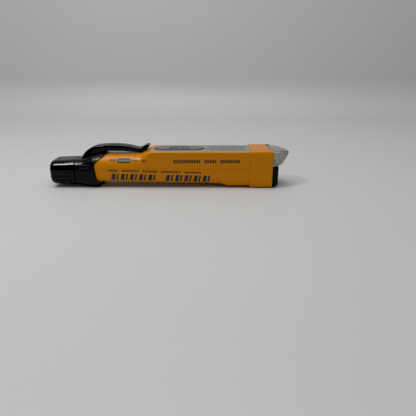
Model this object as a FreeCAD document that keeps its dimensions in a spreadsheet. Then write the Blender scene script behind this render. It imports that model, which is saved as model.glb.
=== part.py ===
"""Pen-shaped non contact voltage tester with a laser distance meter in its head.

Millimetres. X runs along the pen, +X towards the sensing tip. Z points out of the front face, the one
with the keys, so the tester lies on its back. The origin is the centre of the box under the tester.
"""
import FreeCAD, Part
import math
import os
import Sketcher
from FreeCAD import Vector

os.makedirs("parts", exist_ok=True)
doc = FreeCAD.newDocument("VoltageTester")
sheet = doc.addObject("Spreadsheet::Sheet", "dim")
pieces = []


# ---------------------------------------------------------------- sizes that remember their formula

class Size:
    """A number in millimetres with the spreadsheet formula that it comes from."""

    def __init__(self, value, formula):
        self.value = value
        self.formula = formula

    def __add__(self, other):
        other = as_size(other)
        return Size(self.value + other.value, f"({self.formula} + {other.formula})")

    def __sub__(self, other):
        other = as_size(other)
        return Size(self.value - other.value, f"({self.formula} - {other.formula})")

    def __mul__(self, factor):
        return Size(self.value * factor, f"({self.formula} * {factor})")

    def __radd__(self, other):
        return as_size(other) + self

    def __rsub__(self, other):
        return as_size(other) - self

    def __neg__(self):
        return self * -1


def as_size(number):
    return number if isinstance(number, Size) else Size(float(number), f"({float(number)})")


def size(name, value):
    """Adds one driving dimension to the sheet, and returns it for use in formulas."""
    row = size.rows = getattr(size, "rows", 0) + 1
    sheet.set(f"A{row}", name)
    sheet.set(f"B{row}", str(value))
    sheet.setAlias(f"B{row}", name)
    return Size(float(value), f"dim.{name}")


def bind(item, prop, length):
    item.setExpression(prop, as_size(length).formula)


# ---------------------------------------------------------------- sketches

def new_body(label):
    body = doc.addObject("PartDesign::Body", label)
    body.Label = label
    pieces.append(body)
    return body


def add_sketch(body, plane, offset):
    """A sketch on the body's own YZ, XZ or XY plane, moved by offset towards +X, +Y or +Z."""
    sketch = body.newObject("Sketcher::SketchObject", "Sketch")
    origin_plane = next(f for f in body.Origin.OriginFeatures if f.Role == plane + "_Plane")
    sketch.AttachmentSupport = (origin_plane, [""])
    sketch.MapMode = "FlatFace"
    bind(sketch, "AttachmentOffset.Base.z", -as_size(offset) if plane == "XZ" else offset)
    return sketch


def constrain(sketch, constraint, length):
    index = sketch.addConstraint(constraint)
    sketch.setExpression(f"Constraints[{index}]", as_size(length).formula)


def pin_point(sketch, item, end, x, y):
    """Ties one end of a sketch line or arc to its distances from the sketch's origin."""
    x = as_size(x)
    y = as_size(y)
    constrain(sketch, Sketcher.Constraint("DistanceX", -1, 1, item, end, x.value), x)
    constrain(sketch, Sketcher.Constraint("DistanceY", -1, 1, item, end, y.value), y)


def draw_outline(sketch, corners):
    """A closed outline, drawn anticlockwise. A corner is (x, y), or (x, y, radius) when an arc of that
    radius leads to the next corner: positive bulges outwards and negative inwards."""
    corners = [[as_size(value) for value in corner] for corner in corners]
    items = []
    for here, there in zip(corners, corners[1:] + corners[:1]):
        start = Vector(here[0].value, here[1].value)
        end = Vector(there[0].value, there[1].value)
        if len(here) == 2:
            items.append((Part.LineSegment(start, end), 1, 2))
            continue
        radius = here[2].value
        chord = end - start
        reach = math.sqrt(max(radius ** 2 - (chord.Length / 2) ** 2, 0.0))
        inwards = Vector(-chord.y, chord.x).normalize() * math.copysign(reach, radius)
        centre = (start + end) * 0.5 + inwards
        first, last = (start, end) if radius > 0 else (end, start)
        turn = [math.atan2(point.y - centre.y, point.x - centre.x) for point in (first, last)]
        circle = Part.Circle(centre, Vector(0, 0, 1), abs(radius))
        arc = Part.ArcOfCircle(circle, turn[0], turn[1])
        items.append((arc, 1, 2) if radius > 0 else (arc, 2, 1))
    ids = sketch.addGeometry([item[0] for item in items], False)
    for place, corner in enumerate(corners):
        item, start_end, stop_end = ids[place], items[place][1], items[place][2]
        following = (place + 1) % len(corners)
        joined = Sketcher.Constraint("Coincident", item, stop_end, ids[following], items[following][1])
        sketch.addConstraint(joined)
        pin_point(sketch, item, start_end, corner[0], corner[1])
        if len(corner) == 3:
            radius = corner[2] if corner[2].value > 0 else -corner[2]
            constrain(sketch, Sketcher.Constraint("Radius", item, radius.value), radius)


def draw_rounded(sketch, low_x, high_x, low_y, high_y, low_round=0, high_round=0):
    """A rectangle with one corner radius along its low-y side and another along its high-y side."""
    low_x, high_x, low_y, high_y = [as_size(v) for v in (low_x, high_x, low_y, high_y)]
    low_round = as_size(low_round)
    high_round = as_size(high_round)
    corners = [(low_x + low_round, low_y), (high_x - low_round, low_y, low_round),
               (high_x, low_y + low_round), (high_x, high_y - high_round, high_round),
               (high_x - high_round, high_y), (low_x + high_round, high_y, high_round),
               (low_x, high_y - high_round), (low_x, low_y + low_round, low_round)]
    if low_round.value == 0:
        corners[1] = corners[1][:2]
        corners = corners[1:2] + corners[3:7] + [(low_x, low_y)]
    if high_round.value == 0:
        corners = [(low_x, low_y), (high_x, low_y), (high_x, high_y), (low_x, high_y)]
    draw_outline(sketch, corners)


def draw_circle(sketch, x, y, radius):
    x, y, radius = as_size(x), as_size(y), as_size(radius)
    circle = Part.Circle(Vector(x.value, y.value), Vector(0, 0, 1), radius.value)
    item = sketch.addGeometry(circle, False)
    pin_point(sketch, item, 3, x, y)
    constrain(sketch, Sketcher.Constraint("Radius", item, radius.value), radius)


# ---------------------------------------------------------------- features

def extrude(body, sketch, plane, length, cut):
    """A pad or pocket from the sketch towards +X, +Y or +Z."""
    feature = body.newObject("PartDesign::Pocket" if cut else "PartDesign::Pad", "Pocket" if cut else "Pad")
    feature.Profile = sketch
    feature.Reversed = cut != (plane == "XZ")
    bind(feature, "Length", length)


def slab(body, plane, span, width, height, rounds=(0, 0), cut=False):
    """A rounded rectangle, extruded from span[0] to span[1] along the plane's normal."""
    sketch = add_sketch(body, plane, span[0])
    draw_rounded(sketch, width[0], width[1], height[0], height[1], rounds[0], rounds[1])
    extrude(body, sketch, plane, as_size(span[1]) - span[0], cut)


def both_ways(half):
    return (-as_size(half), as_size(half))


def rod(body, plane, span, centre, radius, cut=False):
    sketch = add_sketch(body, plane, span[0])
    draw_circle(sketch, centre[0], centre[1], radius)
    extrude(body, sketch, plane, as_size(span[1]) - span[0], cut)


def profile(body, plane, span, corners, cut=False):
    sketch = add_sketch(body, plane, span[0])
    draw_outline(sketch, corners)
    extrude(body, sketch, plane, as_size(span[1]) - span[0], cut)


def loft(body, stations, cut=False):
    """A ruled skin through rounded cross-sections: (x, half width, floor, roof, belly, crown) each."""
    sketches = []
    for x, half, floor, roof, belly, crown in stations:
        sketch = add_sketch(body, "YZ", x)
        draw_rounded(sketch, -as_size(half), half, floor, roof, belly, crown)
        sketches.append(sketch)
    kind = "PartDesign::SubtractiveLoft" if cut else "PartDesign::AdditiveLoft"
    feature = body.newObject(kind, "Loft")
    feature.Profile = sketches[0]
    feature.Sections = sketches[1:]
    feature.Ruled = True


def box(x, y, z):
    """A plain block between two limits on each axis."""
    shape = doc.addObject("Part::Box", "Block")
    for prop, axis, limits in (("Length", "x", x), ("Width", "y", y), ("Height", "z", z)):
        bind(shape, prop, as_size(limits[1]) - limits[0])
        bind(shape, "Placement.Base." + axis, limits[0])
    return shape


def group(label, shapes):
    """Several separate solids of one kind, kept in one node."""
    joined = doc.addObject("Part::Compound", label)
    joined.Label = label
    joined.Links = shapes
    pieces.append(joined)


def grow(stations, gap):
    """The same stations with every wall moved outwards by gap."""
    return [(x, half + gap, floor - gap, roof + gap, belly + gap, crown + gap)
            for x, half, floor, roof, belly, crown in stations]


# ---------------------------------------------------------------- driving dimensions

tail_end = size("tail_end", -91.0)
tip_end = size("tip_end", 92.4)
half_width = size("half_width", 13.1)
parting = size("parting", 15.0)
parting_gap = size("parting_gap", 0.06)
roof_waist = size("roof_waist", 24.8)
roof_panel = size("roof_panel", 28.2)
floor_grip = size("floor_grip", 4.0)
floor_head = size("floor_head", 0.9)
wall = size("wall", 1.7)
seat = size("seat_gap", 0.05)
running = size("running_gap", 0.25)

seam_gap = size("seam_gap", 0.08)
shoulder = size("shoulder", 62.0)
head_front = size("head_front", 79.0)
head_half = size("head_half_width", 13.7)
head_roof = size("head_roof", 29.2)
head_rounds = (size("head_belly_round", 3.5), size("head_crown_round", 2.5))
notch_x = size("notch_x", 75.6)
notch_half = size("notch_half_width", 10.5)

nose_front = size("nose_front", 83.5)
nose_half = size("nose_half_width", 12.8)
nose_low = size("nose_low", 1.0)
nose_roof = size("nose_roof", 28.6)
nose_split = size("nose_split", 16.95)
nose_wall = size("nose_wall", 1.3)
lip_thick = size("lip_thick", 0.85)
plug_x = size("plug_x", 75.0)
plug_half = size("plug_half_width", 10.7)
plug_low = size("plug_low", 3.1)
plug_top = size("plug_top", 26.1)
plug_wall = size("plug_wall", 1.2)

window_x = size("window_x", 83.0)
window_half = size("window_half_width", 9.2)
window_low = size("window_low", 3.3)
window_top = size("window_top", 15.5)
window_rim = size("window_rim", 1.2)

optics_back = size("optics_back", 52.0)
optics_half = size("optics_half_width", 9.4)
optics_low = size("optics_low", 4.4)
optics_top = size("optics_top", 16.0)
laser_back = size("laser_back", 58.0)
laser_front = size("laser_front", 77.0)
laser_wall = size("laser_wall", 1.1)
receiver_lens_x = size("receiver_lens_x", 74.0)
laser_lens_x = size("laser_lens_x", 75.4)

antenna_x = size("antenna_x", 70.0)
antenna_end = size("antenna_end", 89.5)
antenna_z = size("antenna_z", 24.2)
antenna_half = size("antenna_half_width", 2.0)
antenna_thick = size("antenna_thick", 0.4)
tip_lamp_x = size("tip_lamp_x", 72.2)
tip_lamp_y = size("tip_lamp_y", 2.6)
tip_lamp_z = size("tip_lamp_z", 21.9)

key_power = size("key_power_x", -4.5)
key_measure = size("key_measure_x", 20.0)
key_round = size("key_round", 5.7)
key_stroke = size("key_stroke", 0.6)
key_flange = size("key_flange_top", 25.0)
plunger_low = size("plunger_low", 21.9)
plunger_round = size("plunger_round", 1.6)
switch_top = size("switch_top", 23.3)
switch_half = size("switch_half_width", 3.0)
lamp_x = size("lamp_x", 7.8)
lamp_round = size("lamp_round", 1.5)

board_low = size("board_low", 18.6)
board_top = size("board_top", 19.8)
board_half = size("board_half", 10.8)
board_start = size("board_start", -33.0)
board_end = size("board_end", 73.0)
can_start = size("can_start", 34.0)
can_end = size("can_end", 48.0)
can_half = size("can_half_width", 7.0)
can_wall = size("can_wall", 0.3)

cell_round = size("cell_round", 5.15)
cell_pitch = size("cell_pitch", 10.9)
cell_z = size("cell_axis_z", 11.6)
cell_body = size("cell_body", 43.5)
cell_nub = size("cell_nub", 1.0)
cell_left_x = size("cell_left_x", -85.75)
cell_right_x = size("cell_right_x", -88.65)
bay_end = size("bay_end", -40.8)
bay_start = size("bay_start", -87.1)
bay_step = size("bay_step", -68.5)
cell_fit = size("cell_fit", 0.15)
plate_thick = size("plate_thick", 0.3)
plate_x = bay_end - 0.1 - plate_thick
strip_y = size("strip_y", 3.5)
strip_half = size("strip_half", 0.5)

spigot_half = size("spigot_half", 11.2)
spigot_floor = size("spigot_floor", 4.35)
spigot_roof = size("spigot_roof", 17.75)
spigot_belly = size("spigot_belly", 5.0)
spigot_crown = size("spigot_crown", 5.8)
cap_rim = size("cap_rim", -71.85)
cap_inner_end = size("cap_inner_end", -89.3)
cap_edge = size("cap_edge", 3.0)
groove_start = size("groove_start", -86.5)
groove_end = size("groove_end", -74.5)
pad_start = size("pad_start", -68.3)
pad_end = size("pad_end", -57.6)
pad_low = size("pad_low", 11.0)
pad_high = size("pad_high", 18.2)
heel_x = size("heel_x", -56.4)
seal_x = size("seal_x", -75.0)
seal_half = size("seal_half", 0.5)
seal_depth = size("seal_depth", 0.28)

optics_z = size("optics_axis_z", 10.2)
laser_y = size("laser_y", -5.2)
laser_round = size("laser_round", 3.5)
lens_y = size("lens_y", 3.9)
lens_round = size("lens_round", 4.05)

clip_half = size("clip_half_width", 4.5)
knuckle_x = size("knuckle_x", -54.0)
knuckle_z = size("knuckle_z", 28.6)
knuckle_round = size("knuckle_round", 2.0)
knuckle_fit = size("knuckle_fit", 0.08)

screw_spots = [(size("tail_screw_x", -36.4), size("tail_screw_y", 8.2)),
               (lamp_x, size("mid_screw_y", 8.4))]
screw_seat = size("screw_seat", 8.0)
screw_round = size("screw_round", 1.2)
screw_well = size("screw_well", 2.3)
screw_hole_top = size("screw_hole_top", 20.3)
tail_boss_top = size("tail_boss_top", 21.3)
rear_boss = size("rear_boss", 3.1)
front_boss = size("front_boss", 2.6)
board_screw_x = size("board_screw_x", -29.0)
board_screw_y = size("board_screw_y", 6.5)
board_boss = size("board_boss", 2.2)
board_boss_hole = size("board_boss_hole", 0.95)
board_hole_top = size("board_hole_top", 22.9)
key_hole = size("key_hole", 6.0)
buzzer_x = size("buzzer_x", -22.0)
buzzer_round = size("buzzer_round", 6.0)
sound_ring = size("sound_ring", 2.4)
sound_hole = size("sound_hole", 0.55)

display_low = size("display_low_x", 28.5)
display_high = size("display_high_x", 59.5)
display_half = size("display_half_width", 8.75)
glass_low = size("glass_low", 22.9)
glass_start = size("glass_start_x", 28.0)
glass_end = size("glass_end_x", 60.0)
glass_half = size("glass_half_width", 9.5)
panel_end = size("panel_end_x", -12.8)
panel_half = size("panel_half_width", 12.0)
panel_round = size("panel_round", 10.0)
panel_thick = size("panel_thick", 1.2)
surround_half = size("surround_half_width", 7.0)
surround_low = size("surround_low_x", -11.5)
surround_high = size("surround_high_x", 27.0)

# Cuts that pass right through the tester run between these.
all_x = (-100, 100)
all_y = (-20, 20)
below = -10
above = 40

# The tail of the two housing halves runs inside the black collar, so it is drawn in all round.
tail_stations = [(-69.0, 12.1, 3.6, 18.5, 5.6, 6.4),
                 (-66.0, 12.1, 3.6, 19.5, 5.6, 7.0),
                 (-62.0, 12.2, 3.6, 22.1, 5.6, 8.2),
                 (-56.0, 12.2, 4.4, 23.9, 5.2, 8.4),
                 (-46.0, 12.2, 4.9, 23.9, 5.0, 8.4)]

# The outside of the orange housing: a low round waist, a ramp up to the panel and a step down to the
# deeper head.
ramp = size("ramp_foot", -21.0)
step = size("step_start", 39.5)
housing_stations = [(-60.0, half_width, floor_grip, roof_waist, 5.0, 9.0),
                    (-30.0, half_width, floor_grip, roof_waist, 5.0, 9.0),
                    (ramp, half_width, floor_grip, roof_waist + 0.7, 5.0, 7.5),
                    (ramp + 4.5, half_width, floor_grip, roof_panel - 0.8, 5.0, 3.6),
                    (ramp + 7.8, half_width, floor_grip, roof_panel, 5.0, 1.0),
                    (step, half_width, floor_grip, roof_panel, 5.0, 1.0),
                    (step + 2.0, half_width, floor_grip - 1.4, roof_panel, 4.8, 1.0),
                    (step + 4.0, half_width, floor_head + 0.3, roof_panel, 4.6, 1.0),
                    (step + 5.5, half_width, floor_head, roof_panel, 4.5, 1.0),
                    (shoulder, half_width, floor_head, roof_panel, 4.5, 1.0)]

# The hollow inside, with a thick roof under the panel.
roof_inside = roof_panel - 3.0
hollow_stations = [(-69.5, 11.45, 4.3, 17.9, 5.0, 5.8),
                   (-66.0, 11.45, 4.4, 18.8, 5.0, 6.3),
                   (-62.0, 11.45, 4.6, 21.2, 5.0, 7.4),
                   (-56.0, 11.45, 5.4, 23.0, 4.4, 7.4),
                   (-48.0, half_width - wall, floor_grip + 1.6, roof_waist - 1.7, 4.0, 7.4),
                   (-30.0, half_width - wall, floor_grip + 1.6, roof_waist - 1.7, 4.0, 7.4),
                   (ramp, half_width - wall, floor_grip + 1.6, roof_waist - 1.1, 4.0, 6.0),
                   (ramp + 7.8, half_width - wall, floor_grip + 1.6, roof_inside, 4.0, 1.0),
                   (step + 1.5, half_width - wall, floor_grip + 1.6, roof_inside, 4.0, 1.0),
                   (step + 6.5, half_width - wall, floor_head + 1.6, roof_inside, 3.0, 1.0),
                   (shoulder, half_width - wall, floor_head + 1.6, roof_inside, 3.0, 1.0)]

# Single cross-sections: (half width, floor, roof, belly, crown). The cap and the collar share the one
# at their joint.
head_spigot = (12.1, 1.6, 27.6, 3.0, 2.0)
head_hollow = (10.8, 3.0, 26.2, 2.0, 1.0)
cap_joint = (12.85, 1.9, 20.9, 6.0, 7.4)
cap_end = (12.5, 2.3, 20.3, 5.8, 6.8)

# The outside of the collar. It reaches below the floor here, and is cut flat at Z = 0.
collar_stations = [(cap_rim + 0.15, *cap_joint),
                   (-66.0, 12.9, 1.2, 21.6, 6.0, 7.8),
                   (-62.0, 13.2, -0.3, 23.4, 6.2, 9.0),
                   (-57.5, 13.5, -0.3, 25.1, 6.5, 9.4),
                   (-46.0, 13.6, -0.3, 26.6, 6.5, 9.5)]

# The sensing tip's wedge and the hollow in it.
tip_stations = [(nose_front - 0.5, 12.1, 17.2, 28.4, 1.6, 3.0),
                (85.3, 10.8, 17.5, 28.2, 1.6, 2.8),
                (88.3, 7.4, 19.4, 27.6, 1.6, 2.2),
                (90.8, 4.7, 22.4, 27.0, 1.3, 1.5),
                (tip_end, 3.0, 24.4, 26.5, 0.9, 1.0)]
tip_hollow_stations = [(nose_front - 1.2, 10.8, 18.5, 27.1, 0.5, 1.7),
                       (85.3, 9.4, 18.8, 26.9, 0.5, 1.6),
                       (88.3, 6.0, 20.9, 26.3, 0.5, 1.2),
                       (90.6, 3.4, 23.6, 25.8, 0.4, 0.5)]

panel_outline = [(shoulder, -panel_half), (shoulder, panel_half),
                 (panel_end + panel_round, panel_half, panel_round), (panel_end, panel_half - panel_round),
                 (panel_end, panel_round - panel_half, panel_round), (panel_end + panel_round, -panel_half)]


def seam(gap=0.0):
    """The line where the collar meets the housing, from its top to its bottom, moved back by gap."""
    return [(-40.3 - gap, 33.4), (-54.2 - gap, 20.9, 5.2), (-56.1 - gap, 16.4), (-53.4 - gap, -4.6)]


# ---------------------------------------------------------------- housing

def housing_skin(body):
    """The outside of both halves, and the hollow through them."""
    loft(body, housing_stations)
    profile(body, "XZ", all_y, seam() + [(all_x[0], below), (all_x[0], above)], cut=True)
    loft(body, tail_stations)
    half, floor, roof, belly, crown = head_spigot
    slab(body, "YZ", (shoulder - 1.0, head_front), both_ways(half), (floor, roof), (belly, crown))
    loft(body, hollow_stations, cut=True)
    half, floor, roof, belly, crown = head_hollow
    slab(body, "YZ", (shoulder - 0.5, head_front + 1), both_ways(half), (floor, roof), (belly, crown),
         cut=True)


def front_housing():
    body = new_body("front_housing")
    housing_skin(body)
    slab(body, "XY", (below, parting + parting_gap), all_x, all_y, cut=True)
    profile(body, "XY", (roof_panel - panel_thick, roof_panel + 3), panel_outline, cut=True)
    for x in (key_power, key_measure):
        rod(body, "XY", (roof_inside - 1, roof_panel), (x, 0), key_hole, cut=True)
    rod(body, "XY", (roof_inside - 1, roof_panel), (lamp_x, 0), lamp_round + seat, cut=True)
    slab(body, "XY", (roof_inside - 1, roof_panel), (display_low + 1.0, display_high - 1.0),
         both_ways(display_half - 0.85), cut=True)
    boss_tops = (tail_boss_top, roof_inside + 0.5)
    for (x, y), top in zip(screw_spots, boss_tops):
        for side in (y, -y):
            rod(body, "XY", (parting + parting_gap, top), (x, side), front_boss)
            rod(body, "XY", (parting - 1, screw_hole_top), (x, side), screw_round + seat, cut=True)
    for side in (board_screw_y, -board_screw_y):
        rod(body, "XY", (board_top, roof_waist - 0.8), (board_screw_x, side), board_boss)
        rod(body, "XY", (board_top - 1, board_hole_top), (board_screw_x, side), board_boss_hole, cut=True)


def rear_housing():
    body = new_body("rear_housing")
    housing_skin(body)
    slab(body, "XY", (parting - parting_gap, above), all_x, all_y, cut=True)
    for x, y in screw_spots:
        for side in (y, -y):
            rod(body, "XY", (floor_grip + 1.3, parting - parting_gap), (x, side), rear_boss)
            rod(body, "XY", (below, screw_seat), (x, side), screw_well, cut=True)
            rod(body, "XY", (screw_seat - 1, parting + 1), (x, side), screw_round + seat, cut=True)
    sound_holes = 6
    for turn in range(sound_holes):
        angle = 2 * math.pi * turn / sound_holes
        spot = (buzzer_x + sound_ring * math.cos(angle), sound_ring * math.sin(angle))
        rod(body, "XY", (0, floor_grip + 3.0), spot, sound_hole, cut=True)


def spigot_ring(body, span, grown, cut=False):
    """The battery holder's mouth: its own section with every wall moved outwards by grown."""
    slab(body, "YZ", span, both_ways(spigot_half + grown), (spigot_floor - grown, spigot_roof + grown),
         (spigot_belly + grown, spigot_crown + grown), cut)


def tail_collar():
    """The black collar behind the orange housing, with a raised pad and slot on each flank."""
    body = new_body("tail_collar")
    loft(body, collar_stations)
    slab(body, "XY", (below, 0), all_x, all_y, cut=True)
    pad_root, pad_face, slot_floor = 11.5, 13.65, 13.15
    pad_round = (pad_high - pad_low) * 0.5
    for near, far in ((-pad_face, -pad_root), (pad_root, pad_face)):
        profile(body, "XZ", (near, far), [
            (pad_start + pad_round, pad_low), (pad_end, pad_low), (pad_end, pad_high),
            (pad_start + pad_round, pad_high, pad_round), (pad_start, pad_low + pad_round, pad_round)])
    for near, far in ((all_y[0], -slot_floor), (slot_floor, all_y[1])):
        slab(body, "XZ", (near, far), (pad_start + 2.1, pad_end - 1.9), (pad_low + 3.0, pad_low + 4.1),
             cut=True)
    loft(body, grow(tail_stations, seat), cut=True)
    spigot_ring(body, (cap_rim - 1, bay_step), seat, cut=True)
    profile(body, "XZ", all_y, seam(seam_gap) + [(0, below), (0, above)], cut=True)
    heel = [(heel_x, below), (heel_x + 6.4, below), (heel_x + 6.4, 3.2), (heel_x, 0)]
    profile(body, "XZ", all_y, heel, cut=True)


def head_collar():
    """The thicker orange block around the head, with a notch in its roof for the tip's lip."""
    body = new_body("head_collar")
    half, floor, roof, belly, crown = head_spigot
    slab(body, "YZ", (shoulder + seat, head_front), both_ways(head_half), (0, head_roof), head_rounds)
    slab(body, "YZ", (shoulder - 1, head_front + 1), both_ways(half + seat), (floor - seat, roof + seat),
         (belly + seat, crown + seat), cut=True)
    slab(body, "XY", (roof - 1, head_roof + 2), (notch_x, head_front + 1), both_ways(notch_half), cut=True)


def front_bezel():
    """The black lower nose: a plug inside the housing and a seat for the optics window in its face."""
    body = new_body("front_bezel")
    back = head_front + seat
    slab(body, "YZ", (back, nose_front), both_ways(nose_half), (nose_low, nose_split), (3.0, 0.4))
    slab(body, "YZ", (plug_x, head_front + 1), both_ways(plug_half), (plug_low, plug_top), (1.9, 0.9))
    slab(body, "YZ", (head_front + 1, nose_front - nose_wall), both_ways(nose_half - nose_wall),
         (nose_low + nose_wall, nose_split - nose_wall), (2.0, 0.3), cut=True)
    slab(body, "YZ", (plug_x - 1, head_front + 2), both_ways(plug_half - plug_wall),
         (plug_low + plug_wall, plug_top - plug_wall), (1.0, 0.9), cut=True)
    slab(body, "XY", (nose_split, head_roof), (head_front, nose_front + 1), all_y, cut=True)
    slab(body, "YZ", (window_x - 2, nose_front + 1), both_ways(window_half - window_rim),
         (window_low + window_rim, window_top - window_rim), (1.0, 1.0), cut=True)
    slab(body, "YZ", (window_x - seat, nose_front + 1), both_ways(window_half + seat),
         (window_low - seat, window_top + seat), (1.2, 1.2), cut=True)


# ---------------------------------------------------------------- sensing tip and head

def sensing_tip():
    """The hollow translucent upper nose: a lip over the housing's roof, a base and a pointed wedge."""
    body = new_body("sensing_tip")
    back = head_front + seat
    slab(body, "YZ", (back, nose_front), both_ways(nose_half), (nose_split + seat, nose_roof), (0.4, 3.0))
    slab(body, "YZ", (notch_x + 0.1, head_front + 2), both_ways(notch_half - 0.1),
         (nose_roof - lip_thick, nose_roof))
    loft(body, tip_stations)
    slab(body, "YZ", (head_front - 1, nose_front - 1), both_ways(nose_half - nose_wall),
         (nose_split + nose_wall, nose_roof - nose_wall), (0.3, 1.8), cut=True)
    loft(body, tip_hollow_stations, cut=True)


def antenna_plate():
    """The sensor plate in the tip, bent down at its end to stand on the board."""
    body = new_body("antenna_plate")
    slab(body, "XY", (antenna_z, antenna_z + antenna_thick), (antenna_x, antenna_end),
         both_ways(antenna_half))
    slab(body, "XY", (board_top, antenna_z + 0.2), (antenna_x, antenna_x + 0.5), both_ways(antenna_half))


def tip_lamps():
    """Two round lamps at the board's end that light the tip, each with its two legs."""
    for label, y in (("tip_led_red", tip_lamp_y), ("tip_led_green", -tip_lamp_y)):
        body = new_body(label)
        for start, end, radius in ((0.6, 4.2, 1.5), (4.1, 5.3, 1.1), (0.0, 0.8, 1.8)):
            rod(body, "YZ", (tip_lamp_x + start, tip_lamp_x + end), (y, tip_lamp_z), radius)
        slab(body, "XY", (board_top, tip_lamp_z + 0.7), (tip_lamp_x - 1.0, tip_lamp_x + 0.2),
             (y - 1.0, y + 1.0))


def optics():
    """The block in the head with its two bores, the laser, the receiver behind its lens, and the window."""
    laser = (laser_y, optics_z)
    receiver = (lens_y, optics_z)
    body = new_body("optics_frame")
    slab(body, "YZ", (optics_back, head_front), both_ways(optics_half), (optics_low, optics_top), (0.9, 0.9))
    rod(body, "YZ", (laser_back - 0.1, head_front + 1), laser, laser_round + seat, cut=True)
    rod(body, "YZ", (optics_back - 1, head_front + 1), receiver, lens_round + seat, cut=True)

    body = new_body("laser_barrel")
    rod(body, "YZ", (laser_back, laser_front), laser, laser_round)
    rod(body, "YZ", (laser_back + 2, laser_front + 1), laser, laser_round - laser_wall, cut=True)

    body = new_body("laser_lens")
    rod(body, "YZ", (laser_lens_x, laser_lens_x + 1.2), laser, laser_round - laser_wall - seat)
    rod(body, "YZ", (laser_lens_x + 1.1, laser_lens_x + 1.5), laser, laser_round - 1.9)

    body = new_body("receiver_lens")
    for start, end, inset in ((0.0, 1.6, 0.0), (1.5, 2.1, 0.9), (2.0, 2.5, 2.0)):
        rod(body, "YZ", (receiver_lens_x + start, receiver_lens_x + end), receiver, lens_round - inset)

    receiver_face = optics_back - seat
    body = new_body("receiver_board")
    slab(body, "YZ", (receiver_face - 1.25, receiver_face), both_ways(optics_half - 0.4),
         (optics_low + 0.2, optics_top - 0.2))

    body = new_body("photodetector")
    rod(body, "YZ", (receiver_face, receiver_face + 1.65), receiver, 2.2)
    rod(body, "YZ", (receiver_face + 1.55, receiver_face + 2.05), receiver, 1.5)

    body = new_body("optics_window")
    slab(body, "YZ", (window_x, window_x + 0.45), both_ways(window_half), (window_low, window_top),
         (1.15, 1.15))


# ---------------------------------------------------------------- panel, keys and display

def front_panel():
    """The grey panel, open for the key surround and stepped for the display window, and the window."""
    body = new_body("front_panel")
    profile(body, "XY", (roof_panel - panel_thick, roof_panel), panel_outline)
    slab(body, "XY", (roof_panel - 2, roof_panel + 1), (surround_low - seat, surround_high + seat),
         both_ways(surround_half + seat), (surround_half, surround_half), cut=True)
    slab(body, "XY", (roof_panel - 0.7, roof_panel + 1), (display_low, display_high),
         both_ways(display_half), (1.2, 1.2), cut=True)
    slab(body, "XY", (roof_panel - 2, roof_panel), (display_low + 1.5, display_high - 1.5),
         both_ways(display_half - 1.35), (0.8, 0.8), cut=True)

    body = new_body("display_window")
    slab(body, "XY", (roof_panel - 0.65, roof_panel - seat), (display_low + seat, display_high - seat),
         both_ways(display_half - seat), (1.15, 1.15))


def keys():
    """The dark surround, the indicator between the keys, and each key with its plunger and switch."""
    body = new_body("key_surround")
    slab(body, "XY", (roof_panel - panel_thick + seat, roof_panel + 0.3), (surround_low, surround_high),
         both_ways(surround_half), (surround_half - seat, surround_half - seat))
    for x in (key_power, key_measure):
        rod(body, "XY", (roof_panel - 2, roof_panel + 1), (x, 0), key_hole, cut=True)
    rod(body, "XY", (roof_panel - 2, roof_panel + 1), (lamp_x, 0), lamp_round + seat, cut=True)

    body = new_body("indicator_lens")
    rod(body, "XY", (roof_inside + 0.2, roof_panel + 0.45), (lamp_x, 0), lamp_round)

    for name, x in (("power", key_power), ("measure", key_measure)):
        body = new_body(name + "_key")
        rod(body, "XY", (key_flange - 0.1, roof_panel + 0.7), (x, 0), key_round)
        rod(body, "XY", (key_flange - 0.7, key_flange), (x, 0), key_round + 0.8)

        body = new_body(name + "_plunger")
        rod(body, "XY", (plunger_low, key_flange - 0.73), (x, 0), plunger_round)

        body = new_body(name + "_switch")
        slab(body, "XY", (board_top, switch_top), (x - switch_half, x + switch_half), both_ways(switch_half))
        rod(body, "XY", (plunger_low - key_stroke - 0.2, switch_top + 1), (x, 0), plunger_round + 0.1,
            cut=True)


def display():
    """The display glass on its two connector strips, with its light guide between them."""
    body = new_body("lcd_glass")
    slab(body, "XY", (glass_low, glass_low + 2.0), (glass_start, glass_end), both_ways(glass_half))

    body = new_body("lcd_backlight")
    slab(body, "XY", (board_top + 0.5, glass_low - 0.3), (glass_start + 1, glass_end - 1),
         both_ways(glass_half - 1.2))

    strips = [box((glass_start + 2, glass_end - 2), (near, near + 0.8), (board_top, glass_low))
              for near in (glass_half - 0.9, 0.1 - glass_half)]
    group("lcd_connector_strips", strips)


# ---------------------------------------------------------------- circuit board

def main_board():
    """The board, narrower at both ends, with room for two bosses and holes for its own two screws."""
    body = new_body("main_board")
    for start, end, narrower in ((board_start, -12, 1.2), (-13, 61, 0.0), (60, board_end, 0.5)):
        slab(body, "XY", (board_low, board_top), (start, end), both_ways(board_half - narrower))
    through = (board_low - 1, board_top + 1)
    for side in (1, -1):
        x, y = screw_spots[1]
        rod(body, "XY", through, (x, y * side), front_boss + 0.3, cut=True)
        rod(body, "XY", through, (board_screw_x, board_screw_y * side), 1.0, cut=True)


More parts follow.
